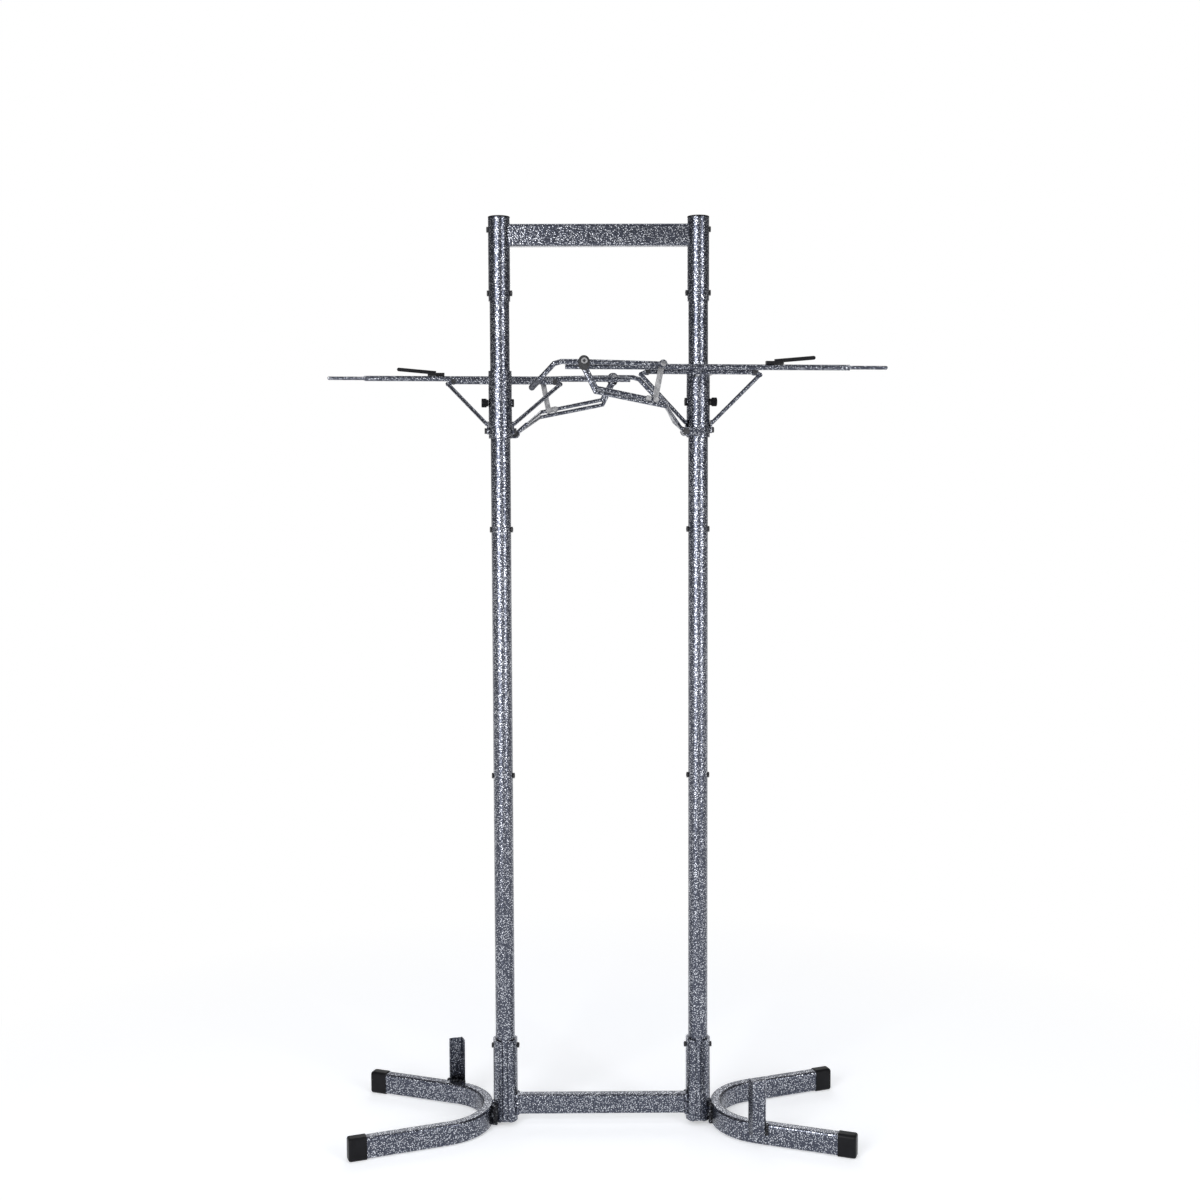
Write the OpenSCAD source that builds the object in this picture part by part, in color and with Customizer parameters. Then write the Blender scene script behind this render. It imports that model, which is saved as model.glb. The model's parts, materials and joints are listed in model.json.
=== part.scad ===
// Freestanding storage stand: two joined posts on C-shaped feet, with catch arms that slide on them.
// Millimetres, +Z up, origin on the floor at the middle of the footprint.
// The left half is the right half turned half a turn about Z.

/* [Posts] */
// Distance between the two post axes
post_spacing = 320; // [280:1:400]
// Outer diameter of the post tubes
post_d = 32; // [28:0.5:36]
// Wall of the post tubes
post_wall = 1.5; // [1.2:0.1:2.5]
// Height of the posts' lower ends above the floor
post_foot_z = 8; // [4:1:14]
// Height of the joint between lower and middle tubes, as a share of the stand's height
low_seam_share = 0.37; // [0.32:0.01:0.42]
// Height of the joint between middle and upper tubes, as a share of the stand's height
middle_seam_share = 0.641; // [0.59:0.001:0.655]
// Length of the swaged spigot inside each tube joint
spigot_l = 60; // [50:1:90]
// Radial clearance of the spigots
spigot_gap = 0.15; // [0.1:0.05:0.4]
// Gap at the seam between two tubes
seam_gap = 0.3; // [0.2:0.1:1]
// Height of the tube joint bolts above their seams
joint_bolt_rise = 34; // [20:1:40]

/* [Top frame] */
// Overall height of the stand
stand_h = 1490; // [1250:1:1700]
// Length of the top sleeves
top_sleeve_l = 131.6; // [100:0.2:140]
// Outer diameter of the top sleeves
top_sleeve_d = 35.4; // [34.8:0.2:42]
// Radial clearance between top sleeve and post
top_sleeve_gap = 0.2; // [0.1:0.05:0.4]
// Height of the lower sleeve bolt above the sleeve's edge
sleeve_bolt_rise = 13; // [9:1:20]
// Height of the crossbar section
crossbar_h = 35; // [25:1:40]
// Depth of the crossbar section, front to back
crossbar_t = 20; // [14:1:26]
// Wall of the crossbar
crossbar_wall = 1.8; // [1.2:0.1:3]
// Distance from the sleeves' tops down to the crossbar
crossbar_drop = 9.6; // [6:0.2:24]
// Distance from the crossbar's top down to its bolts
crossbar_bolt_drop = 8; // [6:0.5:14]
// Thickness of the crossbar's solid ends
crossbar_end_t = 6; // [4:0.5:12]
// Thickness of the top caps' rims
top_cap_t = 2.4; // [1.6:0.2:5]
// Depth of the top caps' plugs
top_cap_plug_l = 10; // [6:1:12]

/* [Base] */
// Height of the leg tube section
leg_h = 35; // [28:1:40]
// Thickness of the leg tube section
leg_t = 18; // [14:1:24]
// Wall of the leg tubes
leg_wall = 1.8; // [1.2:0.1:3]
// Corner radius of the leg tube section
leg_corner_r = 4; // [3.2:0.2:6]
// Bend radius of the leg's middle line
leg_bend_r = 90; // [75:1:110]
// How much each side of the tube draws in along the bend
bend_narrowing = 0.1; // [0.05:0.05:0.3]
// Angle by which each straight arm splays
arm_angle = 20.5; // [12:0.5:30]
// Length of each straight arm, cap included
arm_l = 163; // [120:1:220]
// Visible length of the foot caps
foot_cap_l = 29; // [16:1:40]
// Wall of the foot caps
foot_cap_wall = 1.3; // [1:0.1:2]
// End thickness of the foot caps
foot_cap_end = 3; // [2:0.5:6]
// Clearance of the foot caps on the tube
foot_cap_gap = 0.15; // [0.1:0.05:0.3]
// Height of the cross tube section
cross_h = 33; // [24:1:40]
// Thickness of the cross tube section
cross_t = 18; // [14:1:24]
// Height of the cross tube's lower face above the floor
cross_z = 18; // [16:1:40]
// Wall of the clamp shells that hold the posts
shell_wall = 4; // [3:0.2:6]
// Height of the clamp shells
shell_h = 137; // [110:1:180]
// Clearance between clamp shells and post
shell_gap = 0.2; // [0.1:0.05:0.4]
// Width of the slot between the two half shells
shell_slot_w = 10; // [6:1:16]
// Rounding of the shells' corners
shell_corner_r = 5; // [2:0.5:8]
// Distance from the shells' tops down to their bolts
shell_bolt_drop = 12; // [8:1:30]
// Thickness of the weld between clamp shell and leg
weld_t = 0.8; // [0.4:0.1:2]
// Diameter of the weld beads
bead_d = 7; // [5:0.5:9]

/* [Stops] */
// Height of the stops' tops above the floor
stop_top_z = 109; // [90:1:150]
// Height of the stops' lower ends above the floor
stop_bottom_z = 18; // [6:1:24]
// Width of the stops
stop_w = 25; // [20:1:32]
// Depth of the stops
stop_t = 18; // [14:1:22]
// Wall of the stops
stop_wall = 2; // [1.2:0.1:3]
// Rounding of the stops' outer side
stop_round_r = 6; // [4:0.5:7]
// Distance from the post axis to the stops' middle
stop_out = 89.5; // [80:0.5:110]
// Distance of the stops' middle in front of the arm's middle line
stop_shift = 10; // [8:0.5:12]
// Turn of the stops about the vertical
stop_turn = 17; // [0:1:25]

/* [Fasteners] */
// Diameter of the frame and arm bolts
bolt_d = 5; // [4:0.25:5.5]
// Diameter of the small bolts
small_bolt_d = 4; // [3:0.25:4.5]
// Diametral clearance of the bolt holes
bolt_play = 0.4; // [0.2:0.1:0.8]
// Width across flats of heads and nuts
hex_af = 8; // [7:0.5:11]
// Thickness of the frame bolts' heads
frame_head_h = 2.4; // [1.6:0.2:4]
// Thickness of the frame bolts' nuts
frame_nut_h = 2.8; // [2:0.2:5]
// Length of frame bolt that shows past its nut
frame_end_l = 0.4; // [0.2:0.2:2]
// Thickness of the cradles' bolt heads
head_h = 3.5; // [2.5:0.25:5]
// Thickness of the cradles' nuts
nut_h = 4; // [3:0.25:6]
// Length of a cradle's bolt that shows past its nut
bolt_end_l = 1; // [0.5:0.5:3]
// Clearance under heads and nuts
seat_gap = 0.1; // [0.05:0.05:0.2]
// Gap where one piece is coped round another
cope_gap = 0.15; // [0.1:0.05:0.3]

/* [Cradles] */
// Distance from the stand's top down to the right cradle's rail
right_cradle_drop = 248.5; // [240:0.5:280]
// Distance from the stand's top down to the left cradle's rail
left_cradle_drop = 249.5; // [240:0.5:280]
// Turn of each cradle about its post
cradle_turn = 5; // [-8:1:12]
// Outer diameter of the cradle sleeves
sleeve_d = 38; // [36.8:0.2:42]
// Radial clearance between cradle sleeve and post
sleeve_gap = 0.3; // [0.2:0.05:0.5]
// Height of the sleeve's top above the rail's middle
sleeve_rise = 4; // [1:0.5:8]
// Distance from the rail's middle down to the sleeve's lower edge
sleeve_drop = 104; // [104:1:115]
// Distance from the post axis to the bracket bar's middle
bracket_out = 88; // [80:1:96]
// Reach of the bracket bar on the hook side of the post
bracket_hook_l = 99; // [90:0.5:105]
// Reach of the bracket bar on the tip side of the post
bracket_tip_l = 80.5; // [75:0.5:86]
// Height of the bracket bar and its arm
bracket_h = 8.5; // [7:0.5:9]
// Thickness of the bracket bar
bracket_t = 8; // [5:0.5:9]
// Width of the bracket's arm
bracket_arm_w = 20; // [14:1:26]
// Distance from the rail's middle down to the bracket's middle
bracket_drop = 6; // [4.5:0.5:8]
// Distance from the bracket's ends to its bolts
bracket_bolt_inset = 5.5; // [5:0.5:9]
// Diameter of the strut rods
strut_d = 6.5; // [5:0.25:7]
// Thickness of the struts' flat eyes
eye_t = 3; // [2:0.25:4]
// Diameter of the struts' flat eyes
eye_d = 11; // [9:0.5:13]
// Distance from the rail's middle down to the struts' lower eyes
strut_eye_drop = 92; // [84:1:94]
// Length of the flat between a strut's eye and its rod
tongue_l = 12; // [10:0.5:16]
// Width of the flats between the struts' eyes and rods
tongue_w = 7.6; // [7.4:0.1:8.6]
// Length of the flat between a strut's upper eye and its rod
strut_ear_l = 10.5; // [10.5:0.5:14]
// Outward lean of a strut's upper flat
strut_top_lean = 66; // [40:1:66]
// Diameter of the boss opposite the knob
boss_d = 12.4; // [9:0.2:16]
// Thickness of the boss opposite the knob
boss_t = 2.8; // [1.5:0.1:4]

/* [Support rail] */
// Diameter of the support rail
rail_d = 9; // [8:0.25:10]
// Gap between bracket bar and rail
rail_standoff = 4.5; // [4:0.5:8]
// Reach of the rail on the hook side of the post
rail_hook_l = 223; // [205:1:226]
// Reach of the rail on the tip side of the post
rail_tip_l = 223; // [205:1:240]
// Distance from the post axis to the rail's feet
rail_foot_out = 18; // [12:1:20]
// Length of the rail's feet
rail_foot_l = 12; // [8:1:16]
// Diameter of the tip rod
tip_rod_d = 6; // [4:0.1:6.2]
// Radial clearance of the tip rod in the rail
tip_gap = 0.08; // [0.05:0.01:0.1]
// Reach of the tip rod's end from the post axis
tip_reach = 284; // [272:1:300]
// Travel of the tip rod
tip_travel = 55; // [40:1:60]
// Distance from the post axis to the grip's foot
grip_reach = 90; // [85:1:100]
// Length of the grip's foot
grip_foot_l = 28; // [20:1:34]
// Width of the grip's foot
grip_foot_w = 7; // [5:0.5:9]
// Height of the grip's foot
grip_foot_h = 4.8; // [3.5:0.1:6]
// Thickness of the grip's blade
grip_blade_t = 2.6; // [2:0.1:3]
// Side clearance of the grip's blade in the slot
blade_gap = 0.4; // [0.3:0.1:0.6]
// Diameter of the grip
grip_d = 6.2; // [5:0.2:8]
// Length of the grip
grip_l = 62; // [45:1:75]
// Rise of the grip towards the tip
grip_slope = 5; // [2:0.5:8]

/* [Catch arm] */
// Diameter of the hook rod
hook_d = 8; // [7:0.25:9]
// How far the bends stand proud of their rods
bend_lip = 0.1; // [0.05:0.01:0.12]
// Diameter of the two brace rods
brace_d = 6.4; // [5.6:0.2:7]
// Diameter of the eyes round the arm's bolts
arm_eye_d = 13; // [11:0.5:15]
// Gap between pieces stacked along a bolt
stack_gap = 0.5; // [0.4:0.1:0.8]
// How far the arm's eyes stand proud of their rods
eye_lip = 0.15; // [0.13:0.01:0.19]
// Gap between the rail and the inner brace rod
rail_clear = 5.7; // [5.7:0.1:8]
// Rest gap between the link's tab and the rail
rest_gap = 0.3; // [0.2:0.1:0.6]
// Distance from the post axis to the arm's outer bolt
outer_bolt_out = 196.5; // [188:0.5:200]
// Rise of the arm's outer bolt above the rail's middle
outer_bolt_rise = 5.3; // [4:0.1:8]
// Distance from the post axis to the arm's middle bolt
middle_bolt_out = 74; // [70:1:76]
// Rise of the arm's middle bolt above the rail's middle
middle_bolt_rise = 2.3; // [1:0.1:2.5]
// Reach of the hook's tip from the post axis
hook_reach = 275; // [262:1:290]
// Distance from the rail's middle down to the hook's tip
hook_tip_drop = 34; // [20:1:45]
// Distance from the post axis to the start of the hook's bend
hook_bend_out = 230; // [220:1:236]
// Length of the hook's bend
hook_bend_l = 11; // [8:0.5:14]
// Drop of the hook's bend
hook_bend_drop = 3.2; // [2:0.2:5]
// Length of the cover on the hook's tip
hook_cap_l = 15; // [10:1:22]
// Wall of the cover on the hook's tip
hook_cap_wall = 0.6; // [0.5:0.1:1.5]
// Distance from the post axis to the pivot bolt
pivot_out = 25; // [24:0.5:28]
// Distance from the rail's middle down to the pivot bolt
pivot_drop = 96; // [93:0.5:97]
// Diameter of the pivot bolt
pivot_d = 6; // [5:0.25:7]
// Radial clearance of the brace eyes on the pivot
pivot_gap = 0.08; // [0.05:0.01:0.1]
// Width across flats of the pivot's head and nut
pivot_af = 10; // [9:0.5:11]
// Thickness of the pivot's lug
lug_t = 4; // [3:0.5:5]
// Radius of the pivot's lug
lug_r = 7; // [6:0.5:8]
// Distance from the post axis to the brace rods' outer bends
brace_bend_out = 176; // [170:1:178]
// Distance from the rail's middle down to the inner rod's outer bend
brace_bend_drop = 33.5; // [28:0.5:38]
// Distance from the post axis to the brace rods' inner bends
brace_knee_out = 71; // [66:1:74]
// Distance from the rail's middle down to the inner rod's inner bend
brace_knee_drop = 55; // [50:1:60]
// How much lower the outer brace rod lies than the inner one
brace_step = 7.5; // [5:0.5:8]
// How much farther out the outer brace rod bends than the inner one
brace_bend_step = 3; // [1:0.5:4]
// Length of the outer brace rod straight down from the outer bolt
shoulder_l = 11.5; // [9:0.5:14]
// Length of the inner brace rod beside its pivot eye
inner_neck_l = 24; // [20:1:28]
// Length of the outer brace rod beside its pivot eye
outer_neck_l = 11; // [9:1:13]
// Thickness of the link strap
link_t = 2.4; // [1.5:0.1:2.6]
// Width of the link strap
link_w = 9; // [8:0.5:11]
// Distance from the post axis to the link's lower bolts
link_out = 84.5; // [83:0.5:88]
// Distance between the link's lower bolts
link_pitch = 12; // [11:0.5:15]
// Thickness of the link's tab over the rail
link_tab_t = 2.4; // [1.5:0.1:3]
// Outer diameter of the link's spacers
link_spacer_d = 8; // [7:0.5:9]
// Diameter of the brace eyes at the link's lower bolts
link_eye_d = 10; // [9:0.5:10.5]
// Thickness of the brace eyes at the link's lower bolts
link_eye_t = 4; // [3:0.25:5]
// Width of the catch plate
plate_w = 17; // [14:0.5:20]
// Length of the catch plate below its bolt, up to its round end's middle
plate_drop = 5.5; // [3:0.5:8]
// Thickness of the catch plate
plate_t = 2.4; // [1.6:0.2:4]
// Diameter of the outer bolt's socket head
socket_head_d = 9.5; // [8:0.5:12]
// Diameter of the socket
socket_d = 4.5; // [3.5:0.5:6]
// Depth of the socket
socket_l = 2.8; // [1.5:0.1:3]

/* [Clamp knob] */
// Distance from the rail's middle down to the knob's axis
knob_drop = 47; // [40:1:60]
// Diameter of the knob over its ribs
knob_d = 14.4; // [12:0.2:20]
// Length of the knob's ribbed part
knob_l = 8.5; // [6:0.5:14]
// Number of ribs round the knob
knob_ribs = 16; // [12:1:20]
// Diameter of each rib
rib_d = 2; // [1.4:0.1:2.4]
// Distance of the ribs from the ends of the ribbed part
rib_inset = 0.4; // [0.2:0.1:1]
// Length of the knob's collar
knob_collar_l = 2.6; // [2:0.2:6]
// Diameter of the knob's collar
knob_collar_d = 11; // [9:0.5:12]
// Diameter of the clamp screw
clamp_screw_d = 6; // [5:0.5:7]
// Radial clearance of the clamp screw in the sleeve
screw_gap = 0.08; // [0.05:0.01:0.1]
// Depth of the clamp screw inside the knob
screw_grip_l = 8; // [5:0.5:8]

/* [Hidden] */

$fn = 48;
over = 1;
half_turn = 180;
quarter_turn = 90;
hex_corner = 30;
RIGHT = 0;
LEFT = half_turn;
PAINT = [0.33, 0.35, 0.40];
BLACK = [0.06, 0.06, 0.07];
ZINC = [0.72, 0.73, 0.75];

// Derived sizes of the frame
post_x = post_spacing / 2;
post_r = post_d / 2;
bore_r = post_r - post_wall;
neck_r = bore_r - spigot_gap;
bolt_hole_d = bolt_d + bolt_play;
small_hole_d = small_bolt_d + bolt_play;
foot_cap_out = foot_cap_wall + foot_cap_gap;
leg_mid_z = foot_cap_out + leg_h / 2;
shell_in_r = post_r + shell_gap;
shell_out_r = shell_in_r + shell_wall;
shell_top_z = post_foot_z + shell_h;
shell_bolt_z = shell_top_z - shell_bolt_drop;
leg_centre_x = shell_out_r + weld_t + leg_t / 2 + leg_bend_r;
leg_sweep = quarter_turn - arm_angle;
stop_past_bend = stop_out - leg_centre_x + leg_bend_r * sin(arm_angle);
stop_y = -(leg_bend_r * cos(arm_angle) + stop_past_bend * tan(arm_angle) + stop_shift);
low_seam_z = low_seam_share * stand_h;
middle_seam_z = middle_seam_share * stand_h;
low_bolt_z = low_seam_z + joint_bolt_rise;
middle_bolt_z = middle_seam_z + joint_bolt_rise;
top_sleeve_r = top_sleeve_d / 2;
top_sleeve_in_r = post_r + top_sleeve_gap;
sleeve_top_z = stand_h - top_cap_t;
top_seam_z = sleeve_top_z - top_sleeve_l;
top_bolt_z = top_seam_z + sleeve_bolt_rise;
crossbar_high_z = sleeve_top_z - crossbar_drop;
crossbar_low_z = crossbar_high_z - crossbar_h;
crossbar_mid_z = crossbar_high_z - crossbar_h / 2;
crossbar_bolt_z = crossbar_high_z - crossbar_bolt_drop;
crossbar_half_l = post_x - top_sleeve_r - cope_gap;
upper_tube_top_z = crossbar_low_z - bolt_d;
bead_shares = [0.08, 0.25, 0.42, 0.58, 0.75, 0.92];

// Derived places in a cradle, as distances out from the post axis
cradle_r = sleeve_d / 2;
cradle_in_r = post_r + sleeve_gap;
bracket_front = bracket_out + bracket_t / 2;
bracket_back = bracket_out - bracket_t / 2;
bracket_bolts_u = [bracket_bolt_inset - bracket_hook_l, bracket_tip_l - bracket_bolt_inset];
rail_out = bracket_front + rail_standoff + rail_d / 2;
rail_front = rail_out + rail_d / 2;
link_back = rail_front + stack_gap;
link_front = link_back + link_t;
inner_brace_out = rail_front + rail_clear + brace_d / 2;
hook_out = inner_brace_out + brace_d / 2 + stack_gap + hook_d / 2;
outer_brace_out = hook_out + hook_d / 2 + stack_gap + brace_d / 2;
plate_back = outer_brace_out + brace_d / 2 + stack_gap;
lug_back = cradle_r - lug_t / 2;
lug_front = lug_back + lug_t;
inner_eye_out = lug_front + stack_gap + brace_d / 2;
outer_eye_out = inner_eye_out + brace_d + stack_gap;
pivot_head_out = outer_eye_out + brace_d / 2 + eye_lip + seat_gap;
strut_root_out = strut_d;
strut_root_u = cradle_r + seat_gap + strut_d / 2 + 2 * bend_lip;
strut_top_out = bracket_back - seat_gap - strut_d / 2 - 2 * bend_lip;
strut_eye_back = bracket_back - seat_gap - eye_t;
link_tab_z = rail_d / 2 + rest_gap;
grip_base_z = rail_d / 2 + rest_gap;
tip_bore_r = tip_rod_d / 2 + tip_gap;
tip_in = grip_reach + seat_gap;
slot_end = grip_reach + grip_foot_l / 2;
knob_base_u = cradle_r + rest_gap;
screw_seat_u = knob_base_u + screw_grip_l;

// Bend points of the catch arm in the cradle's upright plane
pivot_p = [-pivot_out, -pivot_drop];
outer_p = [-outer_bolt_out, outer_bolt_rise];
shoulder_p = outer_p - [0, shoulder_l];
middle_p = [-middle_bolt_out, middle_bolt_rise];
inner_bend_p = [-brace_bend_out, -brace_bend_drop];
outer_bend_p = [-brace_bend_out - brace_bend_step, -brace_bend_drop - brace_step];
inner_knee_p = [-brace_knee_out, -brace_knee_drop];
outer_knee_p = [-brace_knee_out, -brace_knee_drop - brace_step];
inner_run = (inner_knee_p - inner_bend_p) / norm(inner_knee_p - inner_bend_p);
link_low_p = inner_bend_p + inner_run * (brace_bend_out - link_out) / inner_run[0];
link_far_p = link_low_p - inner_run * link_pitch;
hook_start_p = [-hook_bend_out, outer_bolt_rise];
hook_turn_p = [-hook_bend_out - hook_bend_l, outer_bolt_rise - hook_bend_drop];
hook_tip_p = [-hook_reach, -hook_tip_drop];
hook_run = (hook_tip_p - hook_turn_p) / norm(hook_tip_p - hook_turn_p);

// Section with rounded corners, centred
module rounded_section(w, h, r) {
  square([w - 2 * r, h], center = true);
  square([w, h - 2 * r], center = true);
  for (sx = [-1, 1])
    for (sy = [-1, 1])
      translate([sx * (w / 2 - r), sy * (h / 2 - r)])
        circle(r);
}

// Flat strip between two points, with round ends a little wider than its middle
module strip(a, b, w) {
  run = b - a;
  translate(a)
    rotate(atan2(run[1], run[0]))
      translate([0, bend_lip - w / 2])
        square([norm(run), w - 2 * bend_lip]);
  for (p = [a, b])
    translate(p)
      circle(d = w);
}

// Straight bar along +X: the section's width lies along Y, its height along Z
module along_x(length) {
  rotate([quarter_turn, 0, quarter_turn])
    linear_extrude(length)
      children();
}

module rod_x(length, d) {
  rotate([0, quarter_turn, 0])
    cylinder(h = length, d = d);
}

module hex_x(length, af) {
  rotate([0, quarter_turn, 0])
    cylinder(h = length, d = af / cos(hex_corner), $fn = 6);
}

// Outward from the post, along -Y
module rod_out(length, d) {
  rotate([quarter_turn, 0, 0])
    cylinder(h = length, d = d);
}

module hex_out(length, af) {
  rotate([quarter_turn, 0, 0])
    cylinder(h = length, d = af / cos(hex_corner), $fn = 6);
}

// Flat plate in the cradle's upright plane, from one distance outward
module plate_out(from, thickness) {
  translate([0, -from, 0])
    rotate([quarter_turn, 0, 0])
      linear_extrude(thickness)
        children();
}

// Turns children so that their +Z runs along a direction
module along(run) {
  rotate([0, acos(run[2] / norm(run)), atan2(run[1], run[0])])
    children();
}

module rod_between(a, b, d) {
  translate(a)
    along(b - a)
      cylinder(h = norm(b - a), d = d);
}

// Rod through a list of points, rounded at every point
module bent_rod(points, d) {
  last = len(points) - 1;
  for (i = [0 : last - 1])
    rod_between(points[i], points[i + 1], d);
  for (i = [0 : last])
    translate(points[i])
      along(i < last ? points[i + 1] - points[i] : points[i] - points[i - 1])
        sphere(d = d + 2 * bend_lip);
}

// A point of the cradle's upright plane set at a distance out from the post
function out(p, distance) = [p[0], -distance, p[1]];

module at_post(side) {
  rotate([0, 0, side])
    translate([post_x, 0, 0])
      children();
}

// Cradle frame: origin on the post axis at the rail's middle height,
// +X along the rail towards its tip, -Y outward from the stand
module at_cradle(side) {
  at_post(side)
    translate([0, 0, stand_h - (side == RIGHT ? right_cradle_drop : left_cradle_drop)])
      rotate([0, 0, cradle_turn])
        children();
}

// Base

// Solid bar of a section's width and height along the bent leg, a little narrower in the bend
module leg_path(short, w, h, r) {
  translate([leg_centre_x, 0, leg_mid_z]) {
    rotate([0, 0, half_turn - leg_sweep])
      rotate_extrude(angle = 2 * leg_sweep, $fn = 96)
        translate([leg_bend_r, 0])
          rounded_section(w - 2 * bend_narrowing, h - 2 * bend_narrowing, r);
    for (s = [-1, 1])
      rotate([0, 0, s * arm_angle])
        translate([-over, s * leg_bend_r, 0])
          along_x(arm_l - short + over)
            rounded_section(w, h, r);
  }
}

// Columns of weld beads on both sides of a joint
module weld_column(x, y, low, high) {
  for (share = bead_shares)
    for (s = [-1, 1])
      translate([x, s * y, low + share * (high - low)])
        sphere(d = bead_d);
}

module leg(side) {
  color(PAINT)
    at_post(side) {
      difference() {
        union() {
          leg_path(foot_cap_end + foot_cap_gap, leg_t, leg_h, leg_corner_r);
          weld_column(shell_out_r, leg_t / 2, leg_mid_z - leg_h / 2, leg_mid_z + leg_h / 2);
        }
        leg_path(-over, leg_t - 2 * leg_wall, leg_h - 2 * leg_wall, leg_corner_r - leg_wall);
        cylinder(h = shell_top_z, r = shell_out_r + seat_gap);
      }
    }
}

module foot_cap(s) {
  translate([leg_centre_x, 0, leg_mid_z])
    rotate([0, 0, s * arm_angle])
      translate([arm_l - foot_cap_l, s * leg_bend_r, 0])
        difference() {
          along_x(foot_cap_l)
            rounded_section(leg_t + 2 * foot_cap_out, leg_h + 2 * foot_cap_out,
                            leg_corner_r + foot_cap_out);
          translate([-over, 0, 0])
            along_x(foot_cap_l - foot_cap_end + over)
              rounded_section(leg_t + 2 * foot_cap_gap, leg_h + 2 * foot_cap_gap,
                              leg_corner_r + foot_cap_gap);
        }
}

module foot_caps(side) {
  color(BLACK)
    at_post(side)
      for (s = [-1, 1])
        foot_cap(s);
}

// Half shell round the post: away is 1 on the leg's side and -1 on the cross tube's
module clamp_shell(side, away) {
  reach = shell_out_r + shell_corner_r;
  color(PAINT)
    at_post(side)
      difference() {
        intersection() {
          translate([0, 0, post_foot_z])
            cylinder(h = shell_h, r = shell_out_r);
          translate([away * (shell_slot_w / 2 + reach / 2), reach, post_foot_z + shell_h / 2])
            rotate([quarter_turn, 0, 0])
              linear_extrude(2 * reach)
                rounded_section(reach, shell_h, shell_corner_r);
        }
        translate([0, 0, post_foot_z - over])
          cylinder(h = shell_h + 2 * over, r = shell_in_r);
        translate([-reach, 0, shell_bolt_z])
          rod_x(2 * reach, bolt_hole_d);
      }
}

module cross_tube() {
  color(PAINT)
    difference() {
      union() {
        translate([-post_x, 0, cross_z + cross_h / 2])
          along_x(post_spacing)
            rounded_section(cross_t, cross_h, leg_corner_r);
        for (side = [RIGHT, LEFT])
          at_post(side)
            weld_column(-shell_out_r, cross_t / 2, cross_z, cross_z + cross_h);
      }
      translate([-post_x, 0, cross_z + cross_h / 2])
        along_x(post_spacing)
          rounded_section(cross_t - 2 * leg_wall, cross_h - 2 * leg_wall, leg_corner_r - leg_wall);
      for (side = [RIGHT, LEFT])
        at_post(side)
          cylinder(h = shell_top_z, r = shell_out_r + seat_gap);
    }
}

// Outline with two sharp corners towards the post and two round ones away from it
module stop_outline(w, t, r) {
  translate([-w / 2, -t / 2])
    square([w - r, t]);
  translate([-w / 2, r - t / 2])
    square([w, t - 2 * r]);
  for (s = [-1, 1])
    translate([w / 2 - r, s * (t / 2 - r)])
      circle(r);
}

// Bent strip welded to the arm's outer side
module wheel_stop(side) {
  color(PAINT)
    at_post(side)
      difference() {
        translate([stop_out, stop_y, stop_bottom_z])
          rotate([0, 0, stop_turn])
            linear_extrude(stop_top_z - stop_bottom_z)
              difference() {
                stop_outline(stop_w, stop_t, stop_round_r);
                stop_outline(stop_w - 2 * stop_wall, stop_t - 2 * stop_wall, stop_round_r - stop_wall);
                translate([stop_wall - stop_w / 2, 0])
                  square([stop_w, stop_t]);
              }
        leg_path(0, leg_t + 2 * seat_gap, leg_h + 2 * seat_gap, leg_corner_r);
      }
}

// Posts

module cross_hole(z) {
  translate([-post_d, 0, z])
    rod_x(2 * post_d, bolt_hole_d);
}

// Post tube whose upper end is swaged down to fit inside the next tube
module swaged_tube(low, high) {
  difference() {
    union() {
      translate([0, 0, low])
        cylinder(h = high - low, r = post_r);
      translate([0, 0, high - over])
        cylinder(h = spigot_l + over, r = neck_r);
    }
    translate([0, 0, low - over])
      cylinder(h = high - low - post_wall + over, r = bore_r);
    translate([0, 0, high - post_wall - over])
      cylinder(h = spigot_l + post_wall + 2 * over, r = neck_r - post_wall);
  }
}

module lower_tube(side) {
  color(PAINT)
    at_post(side)
      difference() {
        swaged_tube(post_foot_z, low_seam_z);
        cross_hole(shell_bolt_z);
        cross_hole(low_bolt_z);
      }
}

module middle_tube(side) {
  color(PAINT)
    at_post(side)
      difference() {
        swaged_tube(low_seam_z + seam_gap, middle_seam_z);
        cross_hole(low_bolt_z);
        cross_hole(middle_bolt_z);
      }
}

module upper_tube(side) {
  low = middle_seam_z + seam_gap;
  color(PAINT)
    at_post(side)
      difference() {
        translate([0, 0, low])
          cylinder(h = upper_tube_top_z - low, r = post_r);
        translate([0, 0, low - over])
          cylinder(h = upper_tube_top_z - low + 2 * over, r = bore_r);
        cross_hole(middle_bolt_z);
        cross_hole(top_bolt_z);
      }
}

module top_sleeve(side) {
  color(PAINT)
    at_post(side)
      difference() {
        translate([0, 0, top_seam_z])
          cylinder(h = top_sleeve_l, r = top_sleeve_r);
        translate([0, 0, top_seam_z - over])
          cylinder(h = top_sleeve_l + 2 * over, r = top_sleeve_in_r);
        cross_hole(top_bolt_z);
        cross_hole(crossbar_bolt_z);
      }
}

module top_cap(side) {
  color(BLACK)
    at_post(side) {
      translate([0, 0, sleeve_top_z])
        cylinder(h = top_cap_t, r = top_sleeve_r - seat_gap);
      translate([0, 0, sleeve_top_z - top_cap_plug_l])
        cylinder(h = top_cap_plug_l + over, r = top_sleeve_in_r - cope_gap);
    }
}

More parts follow.
